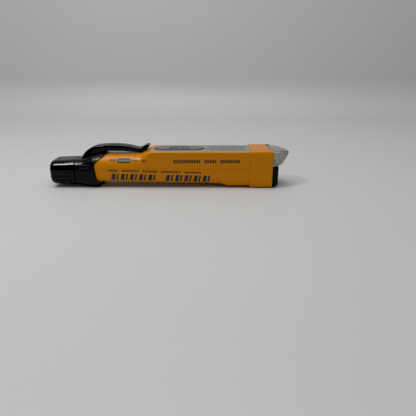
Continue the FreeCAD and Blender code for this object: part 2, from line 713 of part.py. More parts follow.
def board_parts():
    """Chips under the board: a controller, an amplifier, a regulator and the lamp under its lens."""
    group("board_chips", [
        box((-8, 1), (-4.5, 4.5), (board_low - 1.4, board_low)),
        box((13, 18), (-2.5, 2.5), (board_low - 1.4, board_low)),
        box((24, 28), (3.0, 6.0), (board_low - 1.1, board_low)),
        box((24, 27), (-6.5, -3.5), (board_low - 1.1, board_low)),
        box((lamp_x - 1.0, lamp_x + 1.0), (-0.7, 0.7), (board_top, board_top + 1.4))])

    body = new_body("shield_can")
    slab(body, "XY", (board_low - 2.2, board_low), (can_start, can_end), both_ways(can_half), (0.8, 0.8))
    slab(body, "XY", (board_low - 2.2 + can_wall, board_low + 1), (can_start + can_wall, can_end - can_wall),
         both_ways(can_half - can_wall), cut=True)

    body = new_body("buzzer")
    rod(body, "XY", (board_low - 7.4, board_low), (buzzer_x, 0), buzzer_round)
    rod(body, "XY", (board_low - 8, board_low - 4), (buzzer_x, 0), 1.1, cut=True)


def screws():
    """Cross-head screws from the back, and two small ones that hold the board."""
    for label, spots, head_z, length, shank, head in (
            ("housing_screws", screw_spots, screw_seat, 12.0, screw_round, 2.1),
            ("board_screws", [(board_screw_x, board_screw_y)], board_low, 4.1, as_size(0.9), 1.8)):
        solids = []
        for x, y in spots:
            for side in (1, -1):
                solids.append(screw(x, y * side, head_z, length, shank, head))
        group(label, solids)


def cylinder(x, y, low, length, radius):
    shape = doc.addObject("Part::Cylinder", "Rod")
    bind(shape, "Radius", radius)
    bind(shape, "Height", length)
    bind(shape, "Placement.Base.x", x)
    bind(shape, "Placement.Base.y", y)
    bind(shape, "Placement.Base.z", low)
    return shape


def screw(x, y, head_z, length, shank_round, head_round):
    """One screw along Z, its head under head_z with a cross cut into it."""
    head = cylinder(x, y, head_z - 1.6, 1.6, head_round)
    shank = cylinder(x, y, head_z - 0.2, length + 0.2, shank_round)
    whole = doc.addObject("Part::MultiFuse", "Screw")
    whole.Shapes = [head, shank]
    arm = head_round * 0.6
    slot_half = 0.3
    depth = (head_z - 2, head_z - 0.9)
    along = box((x - arm, x + arm), (y - slot_half, y + slot_half), depth)
    across = box((x - slot_half, x + slot_half), (y - arm, y + arm), depth)
    cross = doc.addObject("Part::MultiFuse", "Cross")
    cross.Shapes = [along, across]
    cut = doc.addObject("Part::Cut", "SlottedScrew")
    cut.Base = whole
    cut.Tool = cross
    return cut


# ---------------------------------------------------------------- battery

def battery_frame():
    """The two-cell holder: its round mouth stands out of the tail and carries the cap."""
    body = new_body("battery_frame")
    spigot_ring(body, (bay_start, bay_step + 0.1), 0)
    slab(body, "YZ", (bay_step - 0.1, bay_end + 1.1), both_ways(spigot_half), (5.75, 17.65), (4.6, 5.4))
    for side in (1, -1):
        rod(body, "YZ", (bay_start - 1, bay_end), (cell_pitch * 0.5 * side, cell_z), cell_round + cell_fit,
            cut=True)
        slot = (strip_y * side - strip_half - 0.1, strip_y * side + strip_half + 0.1)
        slab(body, "XY", (cell_z, 19), (plate_x - 0.05, bay_end), slot, cut=True)
    slab(body, "YZ", (bay_start - 1, bay_end), both_ways(2.0), (cell_z - 3.4, cell_z + 3.4), cut=True)
    groove = (seal_x - seal_half - 0.1, seal_x + seal_half + 0.1)
    slab(body, "YZ", groove, (-14, seal_depth - spigot_half), (0, 22), cut=True)
    slab(body, "YZ", groove, (spigot_half - seal_depth, 14), (0, 22), cut=True)
    slab(body, "YZ", groove, (-14, 14), (spigot_roof - seal_depth, 22), cut=True)
    slab(body, "YZ", groove, (-14, 14), (0, spigot_floor + seal_depth), cut=True)


def cap_seal():
    """The seal ring that sits in the groove round the battery holder's mouth."""
    body = new_body("cap_seal")
    spigot_ring(body, (seal_x - seal_half, seal_x + seal_half), 0.17)
    spigot_ring(body, (seal_x - 1, seal_x + 1), 0.01, cut=True)


def battery_cap():
    """The cup over the battery holder's mouth, with three grip grooves on each flank."""
    body = new_body("battery_cap")
    stations = []
    for part in (0.0, 0.05, 0.17, 0.37, 0.67, 1.0):
        inset = cap_edge * (1 - math.sqrt(1 - (1 - part) ** 2))
        stations += grow([(tail_end + cap_edge * part, *cap_end)], -inset)
    stations.append((cap_rim, *cap_joint))
    loft(body, stations)
    spigot_ring(body, (cap_inner_end, cap_rim + 1), running, cut=True)
    groove_half = 0.45
    for z, depth in ((12.6, 12.35), (9.4, 12.3), (6.2, 11.7)):
        for span in ((all_y[0], -depth), (depth, all_y[1])):
            slab(body, "XZ", span, (groove_start, groove_end), (z - groove_half, z + groove_half),
                 (0.4, 0.4), cut=True)


def cells():
    for label, x, side in (("cell_left", cell_left_x, 1), ("cell_right", cell_right_x, -1)):
        body = new_body(label)
        centre = (cell_pitch * 0.5 * side, cell_z)
        can = x if side > 0 else x + cell_nub
        nub = x + cell_body if side > 0 else x
        rod(body, "YZ", (can, can + cell_body), centre, cell_round)
        rod(body, "YZ", (nub - 0.2 * (side > 0), nub + cell_nub + 0.2 * (side < 0)), centre, 1.9)


def contacts():
    body = new_body("cap_contact")
    slab(body, "YZ", (cap_inner_end + 0.01, cap_inner_end + 0.6), both_ways(9.0), (8.6, 14.6), (2.0, 2.0))

    for label, side in (("positive_contact", 1), ("negative_contact", -1)):
        body = new_body(label)
        middle = 5.0 * side
        plate = (plate_x, plate_x + plate_thick)
        leg = (strip_y * side - strip_half, strip_y * side + strip_half)
        slab(body, "YZ", plate, (middle - 3.6, middle + 3.6), (9.0, 14.2), (1.5, 1.5))
        slab(body, "YZ", plate, leg, (13.0, board_low))
        slab(body, "XY", (board_low - plate_thick, board_low), (plate_x, -31.5), leg)

    spring("cap_spring", cap_inner_end + 0.62, cell_left_x - 0.03, cell_pitch * 0.5)
    spring("negative_spring", cell_right_x + cell_body + cell_nub + 0.03, plate_x - 0.03, cell_pitch * -0.5)


def spring(label, start, end, y):
    """A round-wire spring along X: the profile sits on the XZ plane beside the spring's axis."""
    wire = 0.25
    coil = 2.8
    turns = 3
    body = new_body(label)
    sketch = add_sketch(body, "XZ", 0)
    draw_circle(sketch, coil, wire, wire)
    feature = body.newObject("PartDesign::AdditiveHelix", "Coil")
    feature.Profile = sketch
    feature.ReferenceAxis = (sketch, ["V_Axis"])
    feature.Mode = 2
    height = end - start - 2 * wire
    bind(feature, "Height", height)
    feature.Turns = turns
    body.Placement = FreeCAD.Placement(Vector(start.value, y.value, cell_z.value),
                                       FreeCAD.Rotation(Vector(0, 1, 0), 90))
    bind(body, "Placement.Base.x", start)
    bind(body, "Placement.Base.y", y)
    bind(body, "Placement.Base.z", cell_z)


# ---------------------------------------------------------------- pocket clip

def round_point(turn, radius):
    """The point at this angle on a circle about the knuckle."""
    angle = math.radians(turn)
    return knuckle_x + radius.value * math.cos(angle), knuckle_z + radius.value * math.sin(angle)


def clip_root():
    """The foot of the clip on the collar, hollowed at its front for the arm's knuckle."""
    socket = knuckle_round + knuckle_fit
    low = round_point(300, socket)
    left = round_point(220, socket)
    high = round_point(140, socket)
    body = new_body("clip_root")
    profile(body, "XZ", both_ways(clip_half), [
        (-67.6, 21.44), (-66.0, 21.63), (-62.0, 23.43), (-57.5, 25.13), (-52.4, 25.85),
        (low[0], low[1], -socket), (left[0], left[1], -socket), (high[0], high[1]),
        (-56.0, 30.55, 26), (-61.0, 28.7, 12)])


def clip_arm():
    """The springy arm: a knuckle at the root, a long gentle arch and a turned-up end."""
    body = new_body("clip_arm")
    top = round_point(125, knuckle_round)
    left = round_point(220, knuckle_round)
    low = round_point(320, knuckle_round)
    profile(body, "XZ", both_ways(clip_half), [
        (top[0], top[1], knuckle_round), (left[0], left[1], knuckle_round), (low[0], low[1]),
        (-51.0, 26.7), (-46.0, 26.9, -120), (-28.0, 26.4), (-24.0, 25.75, 8), (-20.8, 25.95),
        (-18.0, 27.35), (-14.9, 30.8, 0.9), (-16.2, 31.9), (-20.3, 29.7, -7), (-24.0, 29.3),
        (-28.0, 30.4, 80), (-46.0, 31.9, 60), (-55.4, 30.78)])


# ---------------------------------------------------------------- build, check and write

front_housing()
rear_housing()
tail_collar()
head_collar()
front_bezel()
sensing_tip()
antenna_plate()
tip_lamps()
optics()
front_panel()
keys()
display()
main_board()
board_parts()
screws()
battery_frame()
cap_seal()
battery_cap()
cells()
contacts()
clip_root()
clip_arm()
doc.recompute()

for item in doc.Objects:
    if "Invalid" in item.State or "Error" in item.State:
        raise RuntimeError(f"{item.Label} ({item.Name}) failed: {item.State}")
for piece in pieces:
    if piece.Shape.isNull() or not piece.Shape.isValid():
        raise RuntimeError(f"{piece.Label} has no valid shape")
for piece in pieces:
    piece.Shape.exportStep(f"parts/{piece.Label}.step")
    bounds = piece.Shape.BoundBox
    print(f"{piece.Label:24s} {len(piece.Shape.Solids)} solids {piece.Shape.Volume:9.1f} mm3  "
          f"X {bounds.XMin:7.2f} {bounds.XMax:7.2f}  Y {bounds.YMin:6.2f} {bounds.YMax:6.2f}  "
          f"Z {bounds.ZMin:6.2f} {bounds.ZMax:6.2f}")
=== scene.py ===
"""The looks of a pen-shaped voltage tester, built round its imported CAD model.

Shapes are worked out in millimetres and stored in metres. X runs along the pen towards its tip and
Z points out of the face with the keys, as in the CAD model.
"""

import math

import bpy
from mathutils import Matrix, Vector


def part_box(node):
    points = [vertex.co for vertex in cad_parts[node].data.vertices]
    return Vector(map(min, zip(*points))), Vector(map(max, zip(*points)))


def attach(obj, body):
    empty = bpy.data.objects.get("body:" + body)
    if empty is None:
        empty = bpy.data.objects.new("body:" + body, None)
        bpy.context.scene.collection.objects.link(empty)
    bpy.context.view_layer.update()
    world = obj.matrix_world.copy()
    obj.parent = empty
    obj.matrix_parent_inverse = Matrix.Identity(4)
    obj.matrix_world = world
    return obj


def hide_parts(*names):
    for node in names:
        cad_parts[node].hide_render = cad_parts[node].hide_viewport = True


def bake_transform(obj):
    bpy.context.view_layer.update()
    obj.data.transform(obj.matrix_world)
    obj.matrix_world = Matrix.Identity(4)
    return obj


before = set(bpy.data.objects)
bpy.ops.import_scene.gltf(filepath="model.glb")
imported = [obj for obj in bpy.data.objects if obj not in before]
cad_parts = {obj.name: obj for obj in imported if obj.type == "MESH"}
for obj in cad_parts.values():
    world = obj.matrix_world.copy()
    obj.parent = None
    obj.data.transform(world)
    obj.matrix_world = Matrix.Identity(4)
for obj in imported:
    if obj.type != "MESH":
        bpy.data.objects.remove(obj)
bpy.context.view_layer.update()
MM = 0.001


def corner(node, which, axis):
    """One limit of a CAD node's box, in millimetres: which is 0 for low and 1 for high."""
    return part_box(node)[which]["xyz".index(axis)] / MM


# ---------------------------------------------------------------- curves and cross-sections

def monotone(knots, values, x):
    """A smooth curve through the knots that never overshoots them."""
    if x <= knots[0]:
        return values[0]
    if x >= knots[-1]:
        return values[-1]
    slopes = [(values[i + 1] - values[i]) / (knots[i + 1] - knots[i]) for i in range(len(knots) - 1)]
    here = max(i for i in range(len(slopes)) if knots[i] <= x)

    def tangent(i):
        if i == 0 or i == len(slopes):
            return 0.0
        before, after = slopes[i - 1], slopes[i]
        return 0.0 if before * after <= 0 else 2 * before * after / (before + after)

    width = knots[here + 1] - knots[here]
    t = (x - knots[here]) / width
    start, end = tangent(here) * width, tangent(here + 1) * width
    return (values[here] * (2 * t ** 3 - 3 * t ** 2 + 1) + start * (t ** 3 - 2 * t ** 2 + t)
            + values[here + 1] * (3 * t ** 2 - 2 * t ** 3) + end * (t ** 3 - t ** 2))


def steps(start, end, count):
    """The ends and the dividing points of a run split into count equal parts."""
    return [start + (end - start) * i / count for i in range(count + 1)]


def rounded_outline(low_x, high_x, low_y, high_y, low_round, high_round, arc=8, flat=6):
    """A rectangle's outline, anticlockwise, rounded along its low-y and its high-y side."""
    corners = ((high_x - low_round, low_y + low_round, low_round, -90),
               (high_x - high_round, high_y - high_round, high_round, 0),
               (low_x + high_round, high_y - high_round, high_round, 90),
               (low_x + low_round, low_y + low_round, low_round, 180))
    points = []
    for x, y, radius, turn in corners:
        ring = []
        for angle in steps(math.radians(turn), math.radians(turn + 90), arc):
            ring.append((x + radius * math.cos(angle), y + radius * math.sin(angle)))
        if points:
            points += between(points[-1], ring[0], flat)
        points += ring
    return points + between(points[-1], points[0], flat)


def between(start, end, count):
    """The points that divide a straight run into count pieces, without its ends."""
    return [tuple(a + (b - a) * i / count for a, b in zip(start, end)) for i in range(1, count)]


LEAST_ROUND = 0.2


class Skin:
    """Rounded cross-sections that change smoothly along X: (x, half width, floor, roof, belly, crown).

    Belly and crown are the radii of the lower and the upper edges.
    """

    def __init__(self, stations):
        self.knots = [station[0] for station in stations]
        self.columns = list(zip(*[station[1:] for station in stations]))

    def at(self, x):
        """The cross-section's five sizes at x."""
        return [monotone(self.knots, column, x) for column in self.columns]

    def loop(self, x, inset=0.0, place=None):
        """The cross-section of x as points, shrunk by inset, and put at place if that is given."""
        half, floor, roof, belly, crown = self.at(x)
        outline = rounded_outline(inset - half, half - inset, floor + inset, roof - inset,
                                  max(belly - inset, LEAST_ROUND), max(crown - inset, LEAST_ROUND))
        place = x if place is None else place
        return [(place, y, z) for y, z in outline]

    def side(self, x, z):
        """The skin's half width at this height."""
        half, floor, roof, belly, crown = self.at(x)
        if z > roof - crown:
            rise = min(z - (roof - crown), crown)
            return half - crown + math.sqrt(max(crown ** 2 - rise ** 2, 0.0))
        if z < floor + belly:
            drop = min(floor + belly - z, belly)
            return half - belly + math.sqrt(max(belly ** 2 - drop ** 2, 0.0))
        return half


def straight(low_x, high_x, section):
    """A skin with the same cross-section all along."""
    return Skin([(low_x, *section), (high_x, *section)])


def round_over(radius, count=4):
    """Pairs of (distance from the end, inset) for an end edge rounded to this radius."""
    pairs = []
    for turn in steps(0, math.pi / 2, count):
        pairs.append((radius - radius * math.sin(turn), radius - radius * math.cos(turn)))
    return pairs[::-1]


# ---------------------------------------------------------------- meshes

SHARP_ANGLE = math.radians(32)
BEVEL_ANGLE = math.radians(40)


def new_piece(name, points, faces):
    """A linked object from points in millimetres."""
    mesh = bpy.data.meshes.new(name)
    mesh.from_pydata([Vector(point) * MM for point in points], [], faces)
    mesh.update()
    piece = bpy.data.objects.new(name, mesh)
    bpy.context.scene.collection.objects.link(piece)
    return smooth(piece)


def smooth(piece):
    """Smooth shading, with creases where faces meet at more than the sharp angle."""
    mesh = piece.data
    mesh.polygons.foreach_set("use_smooth", [True] * len(mesh.polygons))
    mesh.set_sharp_from_angle(angle=SHARP_ANGLE)
    return piece


def apply_modifiers(piece):
    """Makes the piece's modifiers part of its mesh for good."""
    depsgraph = bpy.context.evaluated_depsgraph_get()
    mesh = bpy.data.meshes.new_from_object(piece.evaluated_get(depsgraph))
    piece.modifiers.clear()
    piece.data = mesh
    mesh.name = piece.name
    return smooth(piece)


def stitched(name, loops, ring=False):
    """Joins loops of equally many points. A ring's last loop meets its first; other ends are capped."""
    count = len(loops[0])
    points = [point for loop in loops for point in loop]
    faces = []
    rows = len(loops) if ring else len(loops) - 1
    for row in range(rows):
        base, following = row * count, (row + 1) % len(loops) * count
        for i in range(count):
            j = (i + 1) % count
            faces.append((base + j, base + i, following + i, following + j))
    if not ring:
        faces.append(tuple(range(count)))
        faces.append(tuple(reversed(range(len(points) - count, len(points)))))
    return face_outwards(new_piece(name, points, faces))


def face_outwards(piece):
    """Turns the faces over if the mesh is inside out, which its signed volume shows."""
    mesh = piece.data
    mesh.calc_loop_triangles()
    volume = 0.0
    for triangle in mesh.loop_triangles:
        a, b, c = [mesh.vertices[i].co for i in triangle.vertices]
        volume += a.dot(b.cross(c))
    if volume < 0:
        mesh.flip_normals()
    return piece


def prism(name, outline, axis, low, high):
    """An outline extruded along an axis. The outline is in the other two axes, in X, Y, Z order."""
    place = {"x": lambda d, a, b: (d, a, b), "y": lambda d, a, b: (a, d, b), "z": lambda d, a, b: (a, b, d)}
    return stitched(name, [[place[axis](depth, a, b) for a, b in outline] for depth in (low, high)])


def block(name, x, y, z, radius=0.0):
    """A box with limits on each axis, its four upright edges rounded if a radius is given."""
    if radius:
        outline = rounded_outline(*x, *y, radius, radius, arc=5, flat=1)
    else:
        outline = [(x[0], y[0]), (x[1], y[0]), (x[1], y[1]), (x[0], y[1])]
    return prism(name, outline, "z", *z)


TINY = 0.02


def circle(x, y, radius, count=48):
    """A circle's points, anticlockwise from its +x side."""
    return [(x + radius * math.cos(turn), y + radius * math.sin(turn))
            for turn in steps(0, 2 * math.pi, count)[:-1]]


def lathe(name, profile, centre, axis, count):
    """A closed turned solid. The profile is (distance along the axis, radius), first to last."""
    loops = []
    for along, radius in profile:
        ring = circle(*centre, max(radius, TINY), count)
        if axis == "x":
            loops.append([(along, a, b) for a, b in ring])
        else:
            loops.append([(a, b, along) for a, b in ring])
    return stitched(name, loops)


def combine(piece, others, operation="DIFFERENCE"):
    """Cuts the others out of the piece, or joins them to it, for good."""
    for other in others:
        modifier = piece.modifiers.new("combine", "BOOLEAN")
        modifier.operation = operation
        modifier.solver = "EXACT"
        modifier.object = other
    apply_modifiers(piece)
    for other in others:
        bpy.data.objects.remove(other)
    return piece


def soften(piece, width):
    """Rounds the sharp edges for good."""
    modifier = piece.modifiers.new("round", "BEVEL")
    modifier.width = width * MM
    modifier.segments = 3
    modifier.limit_method = "ANGLE"
    modifier.angle_limit = BEVEL_ANGLE
    return apply_modifiers(piece)


def settle(piece, body, material, slot, *replaced):
    """Gives a finished piece its body, its look and the CAD nodes that it stands for."""
    piece.data.materials.clear()
    piece.data.materials.append(material)
    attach(piece, body)
    if replaced:
        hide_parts(*replaced)


# ---------------------------------------------------------------- materials

def add_node(tree, kind, **values):
    """A shader node with input sockets, or else settings, given by name."""
    node = tree.nodes.new(kind)
    for name, value in values.items():
        name = name.replace("_", " ")
        if name in node.inputs:
            node.inputs[name].default_value = value
        else:
            setattr(node, name.replace(" ", "_"), value)
    return node


def new_material(name, **sockets):
    """A Principled material with its node tree, its shader and the piece's own coordinates.

    Sockets are named as Blender names them, with _ for a space.
    """
    material = bpy.data.materials.new(name)
    material.use_nodes = True
    tree = material.node_tree
    shader = tree.nodes["Principled BSDF"]
    for socket, value in sockets.items():
        shader.inputs[socket.replace("_", " ")].default_value = value
    coordinates = tree.nodes.new("ShaderNodeTexCoord")
    return material, tree, shader, coordinates.outputs["Object"]


def noise(tree, place, scale, detail=3.0, rough=0.5):
    """A noise value, of which there are about scale features in a metre."""
    node = add_node(tree, "ShaderNodeTexNoise", Scale=scale, Detail=detail, Roughness=rough)
    tree.links.new(place, node.inputs["Vector"])
    return node.outputs["Fac"]


def remap(tree, value, low, high, start=0.3, end=0.7):
    """Maps a noise value to the range low to high."""
    node = add_node(tree, "ShaderNodeMapRange")
    tree.links.new(value, node.inputs["Value"])
    for name, number in (("From Min", start), ("From Max", end), ("To Min", low), ("To Max", high)):
        node.inputs[name].default_value = number
    return node.outputs["Result"]


# A Mix node keeps sockets for every data type. These are the places of its colour ones.
MIX_FIRST, MIX_SECOND, MIX_RESULT = 6, 7, 2


def tint(tree, value, first, second):
    """A colour between two, chosen by a value from 0 to 1."""
    node = tree.nodes.new("ShaderNodeMix")
    node.data_type = "RGBA"
    tree.links.new(value, node.inputs["Factor"])
    node.inputs[MIX_FIRST].default_value = (*first, 1)
    node.inputs[MIX_SECOND].default_value = (*second, 1)
    return node.outputs[MIX_RESULT]


def bump(tree, shader, height, strength, distance, bevel=None):
    """Fine relief on top of an optional rounding of the edges."""
    node = add_node(tree, "ShaderNodeBump", Strength=strength, Distance=distance * MM)
    tree.links.new(height, node.inputs["Height"])
    if bevel:
        rounding = add_node(tree, "ShaderNodeBevel", samples=4, Radius=bevel * MM)
        tree.links.new(rounding.outputs["Normal"], node.inputs["Normal"])
    tree.links.new(node.outputs["Normal"], shader.inputs["Normal"])


def moulded(name, colour, rough, spread=0.06, grain=0.25, relief=0.12, mottle=0.06, bevel=0.2, **sockets):
    """Moulded plastic: slight colour drift, uneven gloss and the fine grain of the mould."""
    material, tree, shader, place = new_material(name, **sockets)
    drift = noise(tree, place, 38.0, 4.0)
    darker = [part * (1 - mottle) for part in colour]
    lighter = [min(part * (1 + mottle), 1.0) for part in colour]
    blend = tint(tree, remap(tree, drift, 0.0, 1.0), darker, lighter)
    tree.links.new(blend, shader.inputs["Base Color"])
    smear = noise(tree, place, 130.0, 5.0, 0.6)
    tree.links.new(remap(tree, smear, rough - spread, rough + spread), shader.inputs["Roughness"])
    fine = noise(tree, place, 1.0 / (grain * MM), 2.0)
    bump(tree, shader, fine, relief, 0.02, bevel)
    return material


def metal(name, colour, rough):
    """Plated or turned metal with fine streaks along X."""
    material, tree, shader, place = new_material(name, Metallic=1.0)
    stretch = add_node(tree, "ShaderNodeMapping")
    stretch.inputs["Scale"].default_value = (0.06, 1.0, 1.0)
    tree.links.new(place, stretch.inputs["Vector"])
    streaks = noise(tree, stretch.outputs["Vector"], 2600.0, 3.0)
    stains = noise(tree, place, 240.0, 4.0)
    darker = [part * 0.82 for part in colour]
    tree.links.new(tint(tree, remap(tree, stains, 0.0, 1.0), darker, colour), shader.inputs["Base Color"])
    tree.links.new(remap(tree, streaks, rough * 0.7, rough * 1.4), shader.inputs["Roughness"])
    bump(tree, shader, streaks, 0.15, 0.01)
    return material


def clear_plastic(name, colour, rough, transmission):
    """Clear or smoky moulded plastic with a slightly uneven surface."""
    material, tree, shader, place = new_material(name, Transmission_Weight=transmission, IOR=1.49)
    cloud = noise(tree, place, 60.0, 2.0)
    darker = [part * 0.94 for part in colour]
    tree.links.new(tint(tree, remap(tree, cloud, 0.0, 1.0), darker, colour), shader.inputs["Base Color"])
    haze = noise(tree, place, 110.0, 2.0)
    tree.links.new(remap(tree, haze, rough * 0.85, rough * 1.15), shader.inputs["Roughness"])
    bump(tree, shader, haze, 0.02, 0.01)
    return material


def ink(name, colour):
    """Pad-printed ink: nearly flat, with thin spots where the plastic dulls it."""
    material, tree, shader, place = new_material(name)
    speck = noise(tree, place, 5200.0, 2.0, 0.7)
    thin = [part * 0.75 + 0.02 for part in colour]
    blend = tint(tree, remap(tree, speck, 0.0, 1.0, 0.4, 0.65), colour, thin)
    tree.links.new(blend, shader.inputs["Base Color"])
    tree.links.new(remap(tree, speck, 0.32, 0.5), shader.inputs["Roughness"])
    bump(tree, shader, speck, 0.1, 0.01)
    return material


def circuit_board(name):
    """Green solder mask with pale copper tracks showing through as a faint grid."""
    material, tree, shader, place = new_material(name, Roughness=0.35, Coat_Weight=0.4)
    tracks = add_node(tree, "ShaderNodeTexBrick", Scale=260.0, Mortar_Size=0.03)
    tree.links.new(place, tracks.inputs["Vector"])
    mask = tint(tree, tracks.outputs["Fac"], (0.012, 0.085, 0.035), (0.03, 0.17, 0.07))
    tree.links.new(mask, shader.inputs["Base Color"])
    bump(tree, shader, tracks.outputs["Fac"], 0.3, 0.03)
    return material


look = {
    "orange": moulded("orange_plastic", (0.60, 0.208, 0.001), 0.27, 0.035, grain=0.35, relief=0.08,
                      mottle=0.02, Specular_IOR_Level=0.35),
    "gloss": moulded("black_gloss", (0.003, 0.0032, 0.0036), 0.12, 0.04, grain=0.8, relief=0.04, mottle=0.2,
                     Specular_IOR_Level=0.34),
    "grip": moulded("black_grip", (0.003, 0.0032, 0.0036), 0.25, 0.05, grain=0.28, relief=0.2, mottle=0.2,
                    bevel=None, Specular_IOR_Level=0.34),
    "bezel": moulded("black_bezel", (0.006, 0.0062, 0.006), 0.24, 0.05, grain=0.3, relief=0.15, mottle=0.2,
                     Specular_IOR_Level=0.3),
    "inner": moulded("inner_black", (0.014, 0.014, 0.015), 0.5, 0.08, grain=0.3, relief=0.3),
    "panel": moulded("panel_grey", (0.27, 0.27, 0.265), 0.42, 0.05, grain=0.22, relief=0.35, mottle=0.04),
    "surround": moulded("surround_dark", (0.045, 0.046, 0.048), 0.36, 0.05, grain=0.25, relief=0.3),
    "key": moulded("key_grey", (0.16, 0.162, 0.165), 0.55, 0.06, grain=0.2, relief=0.4, mottle=0.05),
    "rubber": moulded("seal_rubber", (0.018, 0.018, 0.018), 0.6, 0.1, grain=0.15, relief=0.5, bevel=None),
    "white": moulded("light_guide", (0.80, 0.80, 0.77), 0.35, 0.05, bevel=None),
    "sleeve": moulded("cell_sleeve", (0.030, 0.034, 0.045), 0.22, 0.05, grain=0.6, relief=0.05, mottle=0.1,
                      bevel=None, Metallic=0.35),
    "band": moulded("cell_band", (0.42, 0.26, 0.10), 0.25, 0.05, grain=0.6, relief=0.05, bevel=None,
                    Metallic=0.8),
    "red_lamp": clear_plastic("red_lamp", (0.80, 0.05, 0.02), 0.2, 0.6),
    "green_lamp": clear_plastic("green_lamp", (0.25, 0.75, 0.28), 0.2, 0.6),
    "smoke": clear_plastic("smoke_plastic", (0.70, 0.68, 0.63), 0.10, 0.84),
    "window": clear_plastic("window_plastic", (0.85, 0.86, 0.87), 0.05, 0.95),
    "lens": clear_plastic("lens_plastic", (0.92, 0.94, 0.95), 0.03, 0.95),
    "liquid": clear_plastic("display_glass", (0.50, 0.55, 0.45), 0.2, 0.1),
    "steel": metal("plated_steel", (0.60, 0.60, 0.585), 0.28),
    "nickel": metal("nickel_plate", (0.74, 0.72, 0.68), 0.2),
    "brass": metal("turned_brass", (0.78, 0.56, 0.26), 0.25),
    "board": circuit_board("circuit_board"),
    "ink_black": ink("ink_black", (0.010, 0.010, 0.012)),
    "ink_navy": ink("ink_navy", (0.006, 0.014, 0.024)),
    "ink_pale": ink("ink_pale", (0.26, 0.27, 0.20)),
    "ink_red": ink("ink_red", (0.42, 0.025, 0.03)),
    "segment": ink("segment_grey", (0.05, 0.06, 0.05)),
}


# ---------------------------------------------------------------- orange housing

PARTING = 15.0
PARTING_GAP = 0.06
PAST_X = (-80, 90)
PAST_Y = (-20, 20)
SHOULDER = 62.0
HEAD_FRONT = corner("head_collar", 1, "x")
TAIL = -69.0
HALF = 13.1
WAIST_ROOF = 24.8
PANEL_ROOF = 28.2

NOSE_SPLIT = 16.95

# Single cross-sections: (half width, floor, roof, belly, crown).
HEAD_SPIGOT = (12.1, 1.6, 27.6, 3.0, 2.0)
HEAD_HOLLOW = (10.8, 3.0, 26.2, 2.0, 1.0)
HEAD_BORE = (12.15, 1.55, 27.65, 3.05, 2.05)
HEAD_BLOCK = (13.7, 0.0, 29.2, 3.5, 2.5)
COLLAR_MOUTH = (11.25, 4.3, 17.8, 5.05, 5.85)
CAP_JOINT = (12.85, 1.9, 20.9, 6.0, 7.4)
CAP_END = (12.5, 2.3, 20.3, 5.8, 6.8)
CAP_BORE = (11.45, 4.1, 18.0, 5.25, 6.05)
NOSE_FACE = (12.8, 1.0, NOSE_SPLIT, 3.0, 0.5)
NOSE_PLUG = (10.7, 3.1, 26.1, 1.9, 0.9)
NOSE_BORE = (9.5, 4.3, 24.9, 1.0, 0.9)

housing = Skin([(TAIL, 12.1, 3.6, 18.5, 5.6, 6.4),
                (-66.0, 12.1, 3.6, 19.5, 5.6, 7.0),
                (-62.0, 12.2, 3.6, 22.0, 5.6, 8.2),
                (-58.5, 12.9, 4.1, 23.9, 5.2, 8.8),
                (-57.2, HALF, 4.4, 24.4, 5.0, 9.0),
                (-50.0, HALF, 4.4, WAIST_ROOF, 5.0, 9.0),
                (-30.0, HALF, 4.0, WAIST_ROOF, 5.0, 9.0),
                (-21.0, HALF, 3.8, 25.5, 5.0, 7.5),
                (-16.5, HALF, 3.7, 27.4, 5.0, 3.6),
                (-13.2, HALF, 3.65, PANEL_ROOF, 5.0, 1.2),
                (39.5, HALF, 2.6, PANEL_ROOF, 5.0, 1.0),
                (41.5, HALF, 1.95, PANEL_ROOF, 4.8, 1.0),
                (43.5, HALF, 1.15, PANEL_ROOF, 4.6, 1.0),
                (45.0, HALF, 0.9, PANEL_ROOF, 4.5, 1.0),
                (SHOULDER, HALF, 0.9, PANEL_ROOF, 4.5, 1.0)])
hollow = Skin([(TAIL, 11.45, 4.3, 17.9, 5.0, 5.8),
               (-62.0, 11.45, 4.6, 21.2, 5.0, 7.4),
               (-48.0, 11.4, 6.0, 23.1, 4.0, 7.4),
               (-21.0, 11.4, 5.4, 23.7, 4.0, 6.0),
               (-13.2, 11.4, 5.2, 25.2, 4.0, 1.0),
               (39.5, 11.4, 4.2, 25.2, 4.0, 1.0),
               (46.0, 11.4, 2.5, 25.2, 3.0, 1.0),
               (SHOULDER, 11.4, 2.5, 25.2, 3.0, 1.0)])
spigot = straight(SHOULDER, HEAD_FRONT, HEAD_SPIGOT)
spigot_hollow = straight(SHOULDER, HEAD_FRONT, HEAD_HOLLOW)

PANEL_TOP = corner("front_panel", 1, "z")
PANEL_LEFT = corner("front_panel", 0, "x")
PANEL_HALF = corner("front_panel", 1, "y")
PANEL_ROUND = 10.0
PANEL_FIT = 0.06
PANEL_DEPTH = 1.25

DISPLAY_HOLE = ((29.5, 58.5), (-7.9, 7.9), (20, 30))

SCREWS = [(x, side * y) for x, y in ((-36.4, 8.2), (7.8, 8.4)) for side in (1, -1)]
SCREW_RECESS = 2.3
SCREW_SEAT = 8.0
SOUND_X = -22
SOUND_RING = 2.4
SOUND_HOLE = 0.55
SOUND_HOLES = 6


def panel_outline(grow=0.0):
    """The panel's outline seen from the front: square at the head, well rounded at its other end."""
    left, half, radius = PANEL_LEFT - grow, PANEL_HALF + grow, PANEL_ROUND + grow
    points = [(SHOULDER, -half), (SHOULDER, half)]
    for side in (1, -1):
        centre = (left + radius, side * (half - radius))
        start = math.pi / 2 if side > 0 else math.pi
        points += [(centre[0] + radius * math.cos(turn), centre[1] + radius * math.sin(turn))
                   for turn in steps(start, start + math.pi / 2, 16)]
    return points


